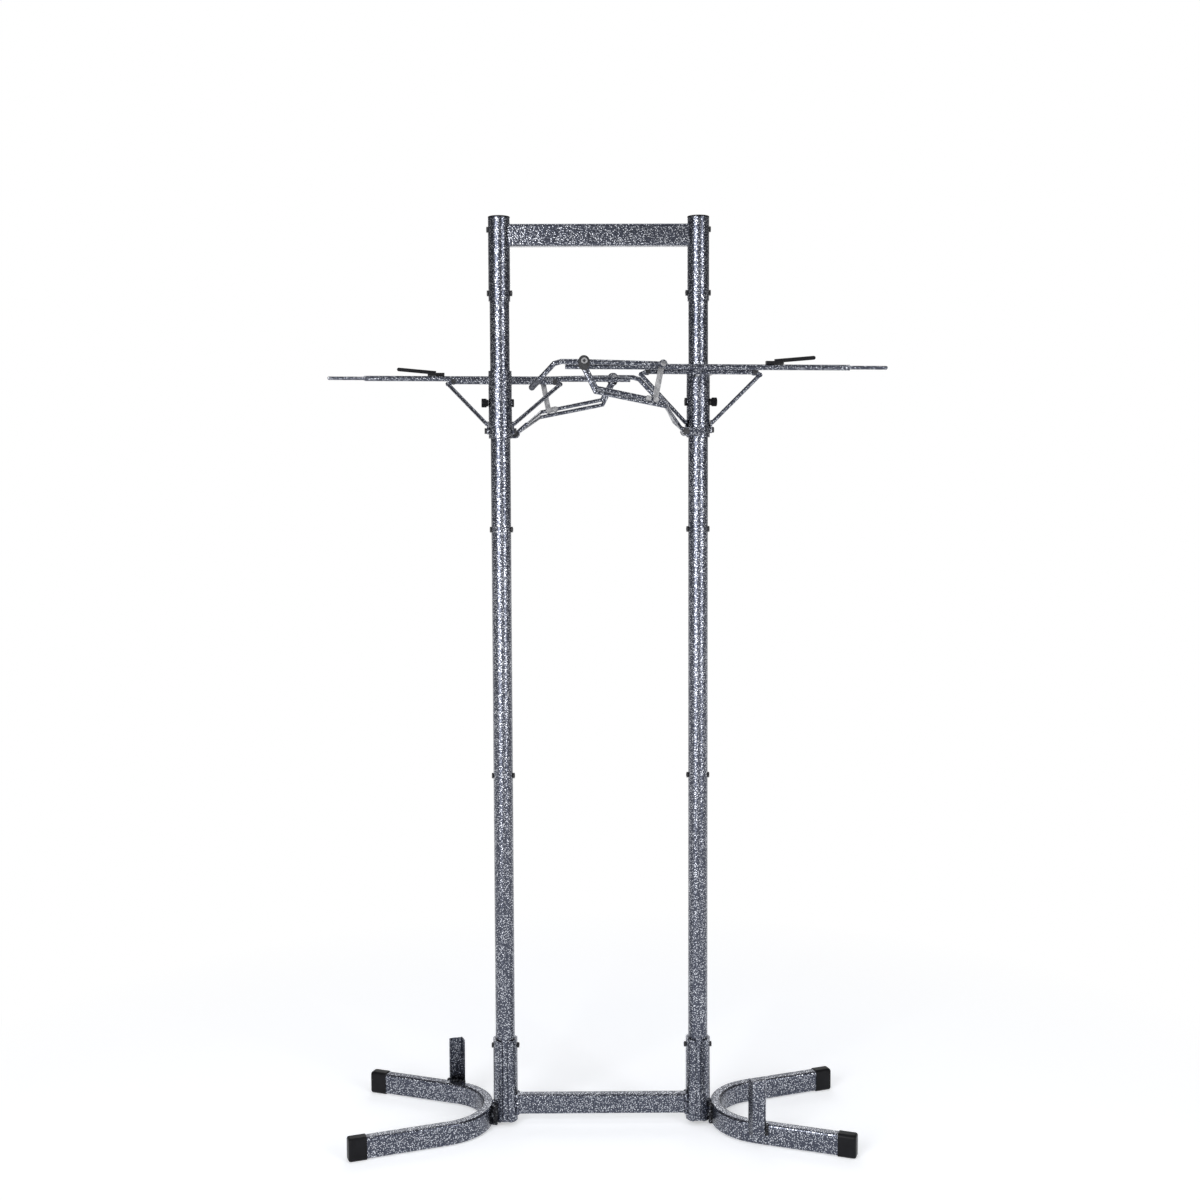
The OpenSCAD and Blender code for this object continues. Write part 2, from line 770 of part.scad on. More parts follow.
module top_crossbar() {
  color(PAINT)
    difference() {
      translate([-post_x, 0, crossbar_mid_z])
        along_x(post_spacing)
          rounded_section(crossbar_t, crossbar_h, leg_corner_r);
      translate([crossbar_end_t - crossbar_half_l, 0, crossbar_mid_z])
        along_x(2 * crossbar_half_l - 2 * crossbar_end_t)
          rounded_section(crossbar_t - 2 * crossbar_wall, crossbar_h - 2 * crossbar_wall,
                          leg_corner_r - crossbar_wall);
      for (side = [RIGHT, LEFT])
        at_post(side)
          translate([0, 0, crossbar_low_z - over])
            cylinder(h = crossbar_h + 2 * over, r = top_sleeve_r + cope_gap);
      translate([-post_x, 0, crossbar_bolt_z])
        rod_x(post_spacing, bolt_hole_d);
    }
}

// Bolts lie across each post, heads on the outer side
module cross_bolt(z, r, inward) {
  translate([-r - inward, 0, z])
    rod_x(2 * r + inward + seat_gap + over, bolt_d);
  translate([r + seat_gap, 0, z])
    hex_x(frame_head_h, hex_af);
}

module cross_nut(z, r) {
  translate([-r - seat_gap - frame_nut_h, 0, z])
    difference() {
      hex_x(frame_nut_h, hex_af);
      translate([-over, 0, 0])
        rod_x(frame_nut_h + 2 * over, bolt_d + 2 * seat_gap);
    }
}

module frame_bolts() {
  past_nut = seat_gap + frame_nut_h + frame_end_l;
  color(BLACK)
    for (side = [RIGHT, LEFT])
      at_post(side) {
        cross_bolt(shell_bolt_z, shell_out_r, past_nut);
        cross_bolt(low_bolt_z, post_r, past_nut);
        cross_bolt(middle_bolt_z, post_r, past_nut);
        cross_bolt(top_bolt_z, top_sleeve_r, past_nut);
        cross_bolt(crossbar_bolt_z, top_sleeve_r, cope_gap + crossbar_end_t + past_nut);
      }
}

module frame_nuts() {
  color(BLACK)
    for (side = [RIGHT, LEFT])
      at_post(side) {
        cross_nut(shell_bolt_z, shell_out_r);
        cross_nut(low_bolt_z, post_r);
        cross_nut(middle_bolt_z, post_r);
        cross_nut(top_bolt_z, top_sleeve_r);
        cross_nut(crossbar_bolt_z, top_sleeve_r + cope_gap + crossbar_end_t);
      }
}

// Cradle body

module cradle_sleeve(side) {
  color(PAINT)
    at_cradle(side)
      difference() {
        union() {
          translate([0, 0, -sleeve_drop])
            cylinder(h = sleeve_drop + sleeve_rise, r = cradle_r);
          translate([-cradle_r - boss_t, 0, -knob_drop])
            rod_x(cradle_r, boss_d);
          plate_out(lug_back, lug_t)
            strip(pivot_p, [0, -pivot_drop], 2 * lug_r);
        }
        translate([0, 0, -sleeve_drop - over])
          cylinder(h = sleeve_drop + sleeve_rise + 2 * over, r = cradle_in_r);
        translate(out(pivot_p, 0))
          rod_out(lug_front + over, pivot_d + 2 * seat_gap);
        translate([0, 0, -knob_drop])
          rod_x(sleeve_d, clamp_screw_d + 2 * screw_gap);
        translate([-sleeve_d, 0, -strut_eye_drop])
          rod_x(2 * sleeve_d, bolt_hole_d);
      }
}

module bracket(side) {
  color(PAINT)
    at_cradle(side)
      difference() {
        union() {
          translate([-bracket_hook_l, -bracket_out, -bracket_drop])
            along_x(bracket_hook_l + bracket_tip_l)
              rounded_section(bracket_t, bracket_h, bracket_t / 4);
          translate([-bracket_arm_w / 2, -bracket_out, -bracket_drop - bracket_h / 2])
            cube([bracket_arm_w, bracket_out - cradle_r / 2, bracket_h]);
        }
        translate([0, 0, -sleeve_drop])
          cylinder(h = sleeve_drop + sleeve_rise, r = cradle_r + cope_gap);
        for (u = bracket_bolts_u)
          translate([u, 0, -bracket_drop])
            rod_out(bracket_out + bracket_t, small_hole_d);
      }
}

// Strut from the sleeve's side up to the bracket's end: s is 1 on the tip side
module strut(side, s) {
  low_top_p = [-strut_root_out, tongue_l - strut_eye_drop];
  high_p = [bracket_bolts_u[s > 0 ? 1 : 0], -bracket_drop];
  high_low_p = high_p + strut_ear_l * [s * sin(strut_top_lean), -cos(strut_top_lean)];
  color(PAINT)
    at_cradle(side)
      difference() {
        union() {
          translate([s * (cradle_r + seat_gap + eye_t / 2) - eye_t / 2, 0, 0])
            along_x(eye_t) {
              strip([0, -strut_eye_drop], low_top_p, tongue_w);
              translate([0, -strut_eye_drop])
                circle(d = eye_d);
            }
          plate_out(strut_eye_back, eye_t) {
            strip(high_p, high_low_p, tongue_w);
            translate(high_p)
              circle(d = eye_d);
          }
          bent_rod([[s * strut_root_u, low_top_p[0], low_top_p[1]],
                    out(high_low_p, strut_top_out)], strut_d);
        }
        translate([-sleeve_d, 0, -strut_eye_drop])
          rod_x(2 * sleeve_d, bolt_hole_d);
        translate(out(high_p, 0))
          rod_out(bracket_out, small_hole_d);
      }
}

module rail(side) {
  color(PAINT)
    at_cradle(side)
      difference() {
        union() {
          translate([-rail_hook_l, -rail_out, 0])
            rod_x(rail_hook_l + rail_tip_l, rail_d);
          for (s = [-1, 1])
            translate([s * rail_foot_out - rail_foot_l / 2, -rail_out, -bracket_drop])
              cube([rail_foot_l, rail_out - bracket_front, bracket_drop]);
        }
        translate([tip_in - tip_travel - seat_gap - over, -rail_out, 0])
          rod_x(rail_tip_l, 2 * tip_bore_r);
        translate([grip_reach - tip_travel - blade_gap, -rail_out - grip_blade_t / 2 - blade_gap, 0])
          cube([slot_end - grip_reach + tip_travel + 2 * blade_gap, grip_blade_t + 2 * blade_gap, rail_d]);
      }
}

// Screws in the sleeve's sides and bolts at the bracket's ends
module side_screw(s, z, d, af, start) {
  shank_u = cradle_in_r + seat_gap;
  head_u = start + seat_gap;
  translate([s > 0 ? shank_u : -head_u - over, 0, z])
    rod_x(head_u - shank_u + over, d);
  translate([s > 0 ? head_u : -head_u - head_h, 0, z])
    hex_x(head_h, af);
}

module cradle_bolts(side) {
  nut_back = strut_eye_back - seat_gap - nut_h;
  head_back = bracket_front + seat_gap;
  color(BLACK)
    at_cradle(side) {
      for (s = [-1, 1])
        side_screw(s, -strut_eye_drop, bolt_d, hex_af, cradle_r + seat_gap + eye_t);
      for (u = bracket_bolts_u)
        translate([u, 0, -bracket_drop]) {
          translate([0, bolt_end_l - nut_back, 0])
            rod_out(head_back - nut_back + bolt_end_l + over, small_bolt_d);
          translate([0, -head_back, 0])
            rod_out(head_h - over, hex_af);
          translate([0, -nut_back, 0])
            difference() {
              hex_out(nut_h, hex_af);
              translate([0, over, 0])
                rod_out(nut_h + 2 * over, small_bolt_d + 2 * seat_gap);
            }
        }
    }
}

module pivot_bolt(side) {
  nut_back = lug_back - seat_gap - nut_h;
  color(BLACK)
    at_cradle(side) {
      translate(out(pivot_p, nut_back - bolt_end_l))
        rod_out(pivot_head_out - nut_back + bolt_end_l + over, pivot_d);
      translate(out(pivot_p, pivot_head_out))
        hex_out(head_h, pivot_af);
      translate(out(pivot_p, nut_back))
        difference() {
          hex_out(nut_h, pivot_af);
          translate([0, over, 0])
            rod_out(nut_h + 2 * over, pivot_d + 2 * seat_gap);
        }
    }
}

// Clamp knob and its screw, in the sleeve's tip side

module clamp_knob(side) {
  color(BLACK)
    at_cradle(side)
      translate([0, 0, -knob_drop])
        difference() {
          union() {
            translate([knob_base_u, 0, 0])
              rod_x(knob_collar_l + over, knob_collar_d);
            translate([knob_base_u + knob_collar_l, 0, 0])
              rod_x(knob_l, knob_d - rib_d);
            for (i = [1 : knob_ribs])
              rotate([(i - 0.5) * 2 * half_turn / knob_ribs, 0, 0])
                translate([knob_base_u + knob_collar_l + rib_inset, 0, (knob_d - rib_d) / 2])
                  rod_x(knob_l - 2 * rib_inset, rib_d);
          }
          rod_x(screw_seat_u, clamp_screw_d + 2 * seat_gap);
        }
}

module clamp_screw(side) {
  color(ZINC)
    at_cradle(side)
      translate([post_r + rest_gap, 0, -knob_drop])
        rod_x(screw_seat_u - seat_gap - post_r - rest_gap, clamp_screw_d);
}

// Catch arm body

// Round eye on a rod, a little thicker than the rod
module rod_eye(p, plane, rod_d, d) {
  translate(out(p, plane - rod_d / 2 - eye_lip))
    rod_out(rod_d + 2 * eye_lip, d);
}

module hook_rod(side) {
  color(PAINT)
    at_cradle(side)
      difference() {
        union() {
          bent_rod([out(middle_p, hook_out), out(outer_p, hook_out), out(hook_start_p, hook_out),
                    out(hook_turn_p, hook_out), out(hook_tip_p, hook_out)], hook_d);
          for (p = [outer_p, middle_p])
            rod_eye(p, hook_out, hook_d, arm_eye_d);
        }
        for (p = [outer_p, middle_p])
          translate(out(p, hook_out - hook_d))
            rod_out(2 * hook_d, bolt_hole_d);
      }
}

module hook_cap(side) {
  cap_start = out(hook_tip_p - hook_run * hook_cap_l, hook_out);
  cap_tip = out(hook_tip_p, hook_out);
  color(BLACK)
    at_cradle(side)
      difference() {
        union() {
          rod_between(cap_start, cap_tip, hook_d + 2 * cope_gap + 2 * hook_cap_wall);
          translate(cap_tip)
            sphere(d = hook_d + 2 * cope_gap + 2 * hook_cap_wall + 2 * bend_lip);
        }
        rod_between(cap_start - out(hook_run, 0), cap_tip, hook_d + 2 * cope_gap);
        translate(cap_tip)
          sphere(d = hook_d + 2 * cope_gap + 2 * bend_lip);
      }
}

// Brace rod: from the outer bolt over its bends to the eye on the pivot bolt
module brace_rod(bends, knee_p, plane, eye_out, neck_l, link_points) {
  neck_run = (knee_p - pivot_p) / norm(knee_p - pivot_p);
  difference() {
    union() {
      bent_rod([for (p = concat([outer_p], bends, [knee_p])) out(p, plane),
                out(pivot_p + neck_run * neck_l, eye_out), out(pivot_p, eye_out)], brace_d);
      rod_eye(outer_p, plane, brace_d, arm_eye_d);
      rod_eye(pivot_p, eye_out, brace_d, arm_eye_d);
      for (p = link_points)
        rod_eye(p, plane, link_eye_t, link_eye_d);
    }
    translate(out(outer_p, plane - brace_d))
      rod_out(2 * brace_d, bolt_hole_d);
    translate(out(pivot_p, eye_out - brace_d))
      rod_out(2 * brace_d, pivot_d + 2 * pivot_gap);
    for (p = link_points)
      translate(out(p, plane - brace_d))
        rod_out(2 * brace_d, small_hole_d);
  }
}

module inner_brace_rod(side) {
  color(PAINT)
    at_cradle(side)
      brace_rod([inner_bend_p], inner_knee_p, inner_brace_out, inner_eye_out, inner_neck_l,
                [link_low_p, link_far_p]);
}

module outer_brace_rod(side) {
  color(PAINT)
    at_cradle(side)
      brace_rod([shoulder_p, outer_bend_p], outer_knee_p, outer_brace_out, outer_eye_out, outer_neck_l, []);
}

// Strap with spacers on its front and a tab that rests over the rail
module link_strap(side) {
  low_spacer_l = inner_brace_out - brace_d / 2 - seat_gap - link_front;
  high_spacer_l = hook_out - hook_d / 2 - eye_lip - seat_gap - link_front;
  head_w = link_w + 2 * bend_lip;
  color(ZINC)
    at_cradle(side)
      difference() {
        union() {
          plate_out(link_back, link_t) {
            strip(middle_p, link_low_p, link_w);
            strip(link_low_p, link_far_p, link_w);
            translate([middle_p[0] - head_w / 2, middle_p[1]])
              square([head_w, link_tab_z + link_tab_t - middle_p[1]]);
          }
          translate([middle_p[0] - head_w / 2, -link_front, link_tab_z])
            cube([head_w, link_front - rail_out + rail_d / 2, link_tab_t]);
          for (p = [link_low_p, link_far_p])
            translate(out(p, link_front - link_t / 2))
              rod_out(low_spacer_l + link_t / 2, link_spacer_d);
          translate(out(middle_p, link_front - link_t / 2))
            rod_out(high_spacer_l + link_t / 2, link_spacer_d);
        }
        for (p = [link_low_p, link_far_p])
          translate(out(p, link_back - over))
            rod_out(link_t + low_spacer_l + 2 * over, small_hole_d);
        translate(out(middle_p, link_back - over))
          rod_out(link_t + high_spacer_l + 2 * over, bolt_hole_d);
      }
}

module catch_plate(side) {
  color(BLACK)
    at_cradle(side)
      plate_out(plate_back, plate_t)
        difference() {
          strip(outer_p, outer_p - [0, plate_drop], plate_w);
          translate(outer_p)
            circle(d = bolt_hole_d);
        }
}

// Bolt from one distance outward to its head, with a nut at its back
module arm_bolt(p, nut_back, head_back, d, af) {
  translate(out(p, nut_back - bolt_end_l))
    rod_out(head_back - nut_back + bolt_end_l + over, d);
  translate(out(p, nut_back))
    difference() {
      hex_out(nut_h, af);
      translate([0, over, 0])
        rod_out(nut_h + 2 * over, d + 2 * seat_gap);
    }
}

module catch_bolts(side) {
  link_nut_back = link_back - seat_gap - nut_h;
  outer_nut_back = inner_brace_out - brace_d / 2 - eye_lip - seat_gap - nut_h;
  outer_head_back = plate_back + plate_t + seat_gap;
  middle_head_back = hook_out + hook_d / 2 + eye_lip + seat_gap;
  link_head_back = inner_brace_out + brace_d / 2 + seat_gap;
  color(ZINC)
    at_cradle(side) {
      arm_bolt(outer_p, outer_nut_back, outer_head_back, bolt_d, hex_af);
      translate(out(outer_p, outer_head_back))
        difference() {
          rod_out(head_h, socket_head_d);
          translate([0, socket_l - head_h, 0])
            hex_out(head_h, socket_d);
        }
      translate(out(middle_p, link_back))
        rod_out(middle_head_back - link_back + over, bolt_d);
      translate(out(middle_p, middle_head_back))
        hex_out(head_h, hex_af);
      for (p = [link_low_p, link_far_p]) {
        arm_bolt(p, link_nut_back, link_head_back, small_bolt_d, hex_af);
        translate(out(p, link_head_back))
          hex_out(head_h, hex_af);
      }
    }
}

// Tip rod and its grip

module tip_rod(side) {
  color(PAINT)
    at_cradle(side) {
      translate([tip_in, -rail_out, 0])
        rod_x(tip_reach - tip_rod_d / 2 - tip_in, tip_rod_d);
      translate([tip_reach - tip_rod_d / 2, -rail_out, 0])
        sphere(d = tip_rod_d);
    }
}

module tip_grip(side) {
  blade_z = tip_rod_d / 2 + seat_gap;
  color(BLACK)
    at_cradle(side)
      translate([grip_reach, -rail_out, 0]) {
        translate([0, -grip_foot_w / 2, grip_base_z])
          cube([grip_foot_l, grip_foot_w, grip_foot_h]);
        translate([0, -grip_blade_t / 2, blade_z])
          cube([grip_foot_l / 2, grip_blade_t, grip_base_z - blade_z + over]);
        translate([grip_foot_l / 2, 0, grip_base_z + grip_foot_h])
          rotate([0, -grip_slope, 0]) {
            rod_x(grip_l, grip_d);
            translate([grip_l, 0, 0])
              sphere(d = grip_d);
          }
      }
}

leg(LEFT);  // left_leg
leg(RIGHT);  // right_leg
foot_caps(LEFT);  // left_foot_caps
foot_caps(RIGHT);  // right_foot_caps
wheel_stop(LEFT);  // left_wheel_stop
wheel_stop(RIGHT);  // right_wheel_stop
clamp_shell(LEFT, 1);  // left_leg_clamp
clamp_shell(RIGHT, 1);  // right_leg_clamp
clamp_shell(LEFT, -1);  // left_cross_tube_clamp
clamp_shell(RIGHT, -1);  // right_cross_tube_clamp
cross_tube();
lower_tube(LEFT);  // left_lower_tube
middle_tube(LEFT);  // left_middle_tube
upper_tube(LEFT);  // left_upper_tube
lower_tube(RIGHT);  // right_lower_tube
middle_tube(RIGHT);  // right_middle_tube
upper_tube(RIGHT);  // right_upper_tube
top_sleeve(LEFT);  // left_top_sleeve
top_sleeve(RIGHT);  // right_top_sleeve
top_cap(LEFT);  // left_top_cap
top_cap(RIGHT);  // right_top_cap
top_crossbar();
frame_bolts();
frame_nuts();
cradle_sleeve(LEFT);  // left_cradle_sleeve
bracket(LEFT);  // left_bracket
strut(LEFT, 1);  // left_tip_strut
strut(LEFT, -1);  // left_hook_strut
rail(LEFT);  // left_rail
cradle_bolts(LEFT);  // left_cradle_bolts
pivot_bolt(LEFT);  // left_pivot_bolt
clamp_knob(LEFT);  // left_clamp_knob
clamp_screw(LEFT);  // left_clamp_screw
hook_rod(LEFT);  // left_hook_rod
hook_cap(LEFT);  // left_hook_cap
inner_brace_rod(LEFT);  // left_inner_brace_rod
outer_brace_rod(LEFT);  // left_outer_brace_rod
catch_plate(LEFT);  // left_catch_plate
catch_bolts(LEFT);  // left_catch_bolts
link_strap(LEFT);  // left_link_strap
tip_rod(LEFT);  // left_tip_rod
tip_grip(LEFT);  // left_tip_grip
cradle_sleeve(RIGHT);  // right_cradle_sleeve
bracket(RIGHT);  // right_bracket
strut(RIGHT, 1);  // right_tip_strut
strut(RIGHT, -1);  // right_hook_strut
rail(RIGHT);  // right_rail
cradle_bolts(RIGHT);  // right_cradle_bolts
pivot_bolt(RIGHT);  // right_pivot_bolt
clamp_knob(RIGHT);  // right_clamp_knob
clamp_screw(RIGHT);  // right_clamp_screw
hook_rod(RIGHT);  // right_hook_rod
hook_cap(RIGHT);  // right_hook_cap
inner_brace_rod(RIGHT);  // right_inner_brace_rod
outer_brace_rod(RIGHT);  // right_outer_brace_rod
catch_plate(RIGHT);  // right_catch_plate
catch_bolts(RIGHT);  // right_catch_bolts
link_strap(RIGHT);  // right_link_strap
tip_rod(RIGHT);  // right_tip_rod
tip_grip(RIGHT);  // right_tip_grip
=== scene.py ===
import json
import math

import bmesh
import bpy
from mathutils import Matrix, Vector, noise


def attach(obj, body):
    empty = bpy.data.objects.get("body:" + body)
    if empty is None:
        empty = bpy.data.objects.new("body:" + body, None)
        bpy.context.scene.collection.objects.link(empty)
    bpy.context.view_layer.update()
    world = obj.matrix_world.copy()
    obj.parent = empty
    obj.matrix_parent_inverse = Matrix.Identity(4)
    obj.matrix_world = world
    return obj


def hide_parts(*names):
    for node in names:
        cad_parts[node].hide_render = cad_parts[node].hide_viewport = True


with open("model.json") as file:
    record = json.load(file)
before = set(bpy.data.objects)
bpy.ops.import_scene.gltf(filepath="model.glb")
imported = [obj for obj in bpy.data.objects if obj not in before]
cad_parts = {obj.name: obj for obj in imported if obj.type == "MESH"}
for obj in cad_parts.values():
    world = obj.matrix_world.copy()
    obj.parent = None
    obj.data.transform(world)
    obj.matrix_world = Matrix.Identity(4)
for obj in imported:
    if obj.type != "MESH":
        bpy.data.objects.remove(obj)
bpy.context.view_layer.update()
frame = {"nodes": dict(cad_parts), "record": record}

scene = bpy.context.scene
nodes = frame["nodes"]
record = frame["record"]


# Camera at the photograph's view


CAMERA_PLACE = (-0.0182, -2.442, 1.033)
CAMERA_PITCH, CAMERA_YAW, CAMERA_ROLL = 3.73, 0.428, -0.211
CAMERA_LENS, SENSOR_WIDTH = 45.0, 36.0


def place_camera():
    data = bpy.data.cameras.new("camera")
    data.lens = CAMERA_LENS
    data.sensor_width = SENSOR_WIDTH
    data.sensor_fit = "HORIZONTAL"
    pitch, yaw, roll = (math.radians(angle) for angle in (CAMERA_PITCH, CAMERA_YAW, CAMERA_ROLL))
    forward = Vector((math.sin(yaw) * math.cos(pitch), math.cos(yaw) * math.cos(pitch), -math.sin(pitch)))
    right = Vector((math.cos(yaw), -math.sin(yaw), 0.0))
    up = right.cross(forward)
    right_rolled = right * math.cos(roll) + up * math.sin(roll)
    up_rolled = up * math.cos(roll) - right * math.sin(roll)
    turn = Matrix((right_rolled, up_rolled, -forward)).transposed().to_4x4()
    camera = bpy.data.objects.new("camera", data)
    camera.matrix_world = Matrix.Translation(CAMERA_PLACE) @ turn
    scene.collection.objects.link(camera)
    scene.camera = camera


place_camera()
scene.view_settings.view_transform = "Standard"


# Node helpers


class Nodes:
    """A material's node tree, with short calls to add and join nodes."""

    def __init__(self, name):
        self.material = bpy.data.materials.new(name)
        self.material.use_nodes = True
        self.tree = self.material.node_tree
        self.tree.nodes.clear()
        self.output = self.tree.nodes.new("ShaderNodeOutputMaterial")
        self.place = self.tree.nodes.new("ShaderNodeTexCoord").outputs["Object"]

    def add(self, kind, inputs=None, **settings):
        node = self.tree.nodes.new(kind)
        for key, value in settings.items():
            setattr(node, key, value)
        for key, value in (inputs or {}).items():
            socket = node.inputs[key]
            if isinstance(value, bpy.types.NodeSocket):
                self.tree.links.new(value, socket)
            else:
                socket.default_value = value
        return node

    def noise(self, scale, detail=2.0, roughness=0.5, vector=None):
        return self.add("ShaderNodeTexNoise", {"Vector": vector or self.place, "Scale": scale,
                                               "Detail": detail, "Roughness": roughness}).outputs["Fac"]

    def ramp(self, factor, stops):
        node = self.add("ShaderNodeValToRGB", {"Fac": factor})
        elements = node.color_ramp.elements
        while len(elements) > 1:
            elements.remove(elements[-1])
        elements[0].position, elements[0].color = stops[0][0], (*stops[0][1], 1.0)
        for position, colour in stops[1:]:
            elements.new(position).color = (*colour, 1.0)
        return node.outputs["Color"]

    def span(self, value, low, high, to_low=0.0, to_high=1.0):
        return self.add("ShaderNodeMapRange", {"Value": value, "From Min": low, "From Max": high,
                                               "To Min": to_low, "To Max": to_high}).outputs["Result"]

    def math(self, operation, a, b):
        node = self.add("ShaderNodeMath", operation=operation)
        for index, value in enumerate((a, b)):
            if isinstance(value, bpy.types.NodeSocket):
                self.tree.links.new(value, node.inputs[index])
            else:
                node.inputs[index].default_value = value
        return node.outputs["Value"]

    def bump(self, height, strength, distance):
        inputs = {"Height": height, "Strength": strength, "Distance": distance}
        return self.add("ShaderNodeBump", inputs).outputs["Normal"]

    def surface(self, **inputs):
        shader = self.add("ShaderNodeBsdfPrincipled", {k.replace("_", " "): v for k, v in inputs.items()})
        self.tree.links.new(shader.outputs["BSDF"], self.output.inputs["Surface"])
        return self.material


# Finishes


FLECKS_PER_METRE = 430.0


def hammered_paint(name):
    """Dark slate paint that dried into small bright dimples, over steel."""
    m = Nodes(name)
    drift = m.add("ShaderNodeTexNoise", {"Vector": m.place, "Scale": 420.0, "Detail": 1.0})
    offset = m.add("ShaderNodeVectorMath", {0: drift.outputs["Color"], "Scale": 0.0014}, operation="SCALE")
    moved = m.add("ShaderNodeVectorMath", {0: m.place, 1: offset.outputs["Vector"]}, operation="ADD")
    cells = m.add("ShaderNodeTexVoronoi",
                  {"Vector": moved.outputs["Vector"], "Scale": FLECKS_PER_METRE, "Smoothness": 0.4},
                  feature="SMOOTH_F1").outputs["Distance"]
    fine = m.noise(1300.0, 2.0)
    cloud = m.noise(24.0, 3.0)
    spread = m.math("ADD", cells, m.span(fine, 0.3, 0.7, -0.09, 0.09))
    spread = m.math("ADD", spread, m.span(cloud, 0.3, 0.7, -0.03, 0.03))
    colour = m.ramp(spread, [(0.10, (0.92, 0.94, 0.97)), (0.23, (0.66, 0.68, 0.73)),
                             (0.34, (0.19, 0.202, 0.24)), (0.48, (0.06, 0.066, 0.09))])
    height = m.math("ADD", cells, m.math("MULTIPLY", fine, 0.12))
    normal = m.bump(height, 0.42, 0.0006)
    roughness = m.span(m.noise(70.0, 3.0), 0.3, 0.7, 0.20, 0.28)
    return m.surface(Base_Color=colour, Metallic=1.0, Roughness=roughness, Normal=normal,
                     Coat_Weight=0.3, Coat_Roughness=0.1)


def moulded_black(name):
    """Black plastic with a fine moulded grain."""
    m = Nodes(name)
    grain = m.noise(1800.0, 3.0)
    blotch = m.noise(60.0, 3.0)
    colour = m.ramp(blotch, [(0.3, (0.004, 0.004, 0.005)), (0.7, (0.008, 0.008, 0.010))])
    normal = m.bump(grain, 0.25, 0.0002)
    return m.surface(Base_Color=colour, Roughness=m.span(grain, 0.3, 0.7, 0.32, 0.46), Normal=normal,
                     Specular_IOR_Level=0.15)


def bright_zinc(name):
    """Zinc plating with faint drawn lines and a patchy sheen."""
    m = Nodes(name)
    stretched = m.add("ShaderNodeMapping", {"Vector": m.place, "Scale": (1.0, 1.0, 9.0)}).outputs["Vector"]
    lines = m.noise(420.0, 3.0, vector=stretched)
    patch = m.noise(130.0, 3.0)
    colour = m.ramp(patch, [(0.3, (0.26, 0.265, 0.28)), (0.7, (0.44, 0.44, 0.45))])
    roughness = m.span(patch, 0.3, 0.7, 0.24, 0.42)
    return m.surface(Base_Color=colour, Metallic=1.0, Roughness=roughness, Normal=m.bump(lines, 0.12, 0.0003))


def black_steel(name):
    """Black painted or plated steel, a little uneven."""
    m = Nodes(name)
    patch = m.noise(90.0, 4.0)
    colour = m.ramp(patch, [(0.35, (0.012, 0.012, 0.014)), (0.75, (0.035, 0.036, 0.04))])
    return m.surface(Base_Color=colour, Metallic=0.2, Roughness=m.span(patch, 0.3, 0.7, 0.3, 0.45),
                     Normal=m.bump(m.noise(700.0, 2.0), 0.2, 0.0002))


def weld_shade_and_glints(name):
    """Rough weld, near black partly as its own dark and partly as painted shade of the grooves and gaps it
    fills, with painted glints on the lump crowns.
    """
    m = Nodes(name)
    lumps = m.noise(420.0, 4.0, 0.6)
    # Near black is partly painted shade; the pale stop at the top of the lumps paints glints on the lump
    # crowns.
    colour = m.ramp(lumps, [(0.35, (0.004, 0.004, 0.005)), (0.60, (0.02, 0.021, 0.026)),
                            (0.68, (0.45, 0.46, 0.5))])
    return m.surface(Base_Color=colour, Metallic=0.3, Roughness=m.span(lumps, 0.3, 0.7, 0.25, 0.5),
                     Normal=m.bump(lumps, 0.9, 0.0012), Specular_IOR_Level=0.3)


def dark_sleeve(name):
    """Dark grey sleeve, rubbed pale in patches."""
    m = Nodes(name)
    rub = m.noise(300.0, 4.0, 0.6)
    colour = m.ramp(rub, [(0.35, (0.016, 0.018, 0.024)), (0.7, (0.09, 0.095, 0.115))])
    return m.surface(Base_Color=colour, Metallic=0.3, Roughness=m.span(rub, 0.3, 0.7, 0.3, 0.45),
                     Normal=m.bump(rub, 0.3, 0.0004))


FINISHES = {
    "hammertone_paint": hammered_paint("hammered_slate_paint"),
    "black_plastic": moulded_black("moulded_black_plastic"),
    "zinc_steel": bright_zinc("bright_zinc"),
    "black_steel": black_steel("black_painted_plate"),
}
WELD = weld_shade_and_glints("weld_with_painted_shade_and_glints")
DARK_SLEEVE = dark_sleeve("dark_hook_sleeve")

for part in record["subparts"]:
    slots = nodes[part["node"]].material_slots
    if not slots:
        nodes[part["node"]].data.materials.append(FINISHES[part["material_slot"]])
    for slot in nodes[part["node"]].material_slots:
        slot.material = FINISHES[part["material_slot"]]
for node in ("right_hook_cap", "left_hook_cap"):
    nodes[node].material_slots[0].material = DARK_SLEEVE


# Welds


SWELL_LEAST, SWELL_SPREAD, SWELL_GRAIN = 0.85, 0.6, 190.0
LUMP_TURN = 1.3
VOXELS_PER_RADIUS = 9.0
SPATTER_SIZE, SPATTER_HEIGHT = 0.6, 0.7


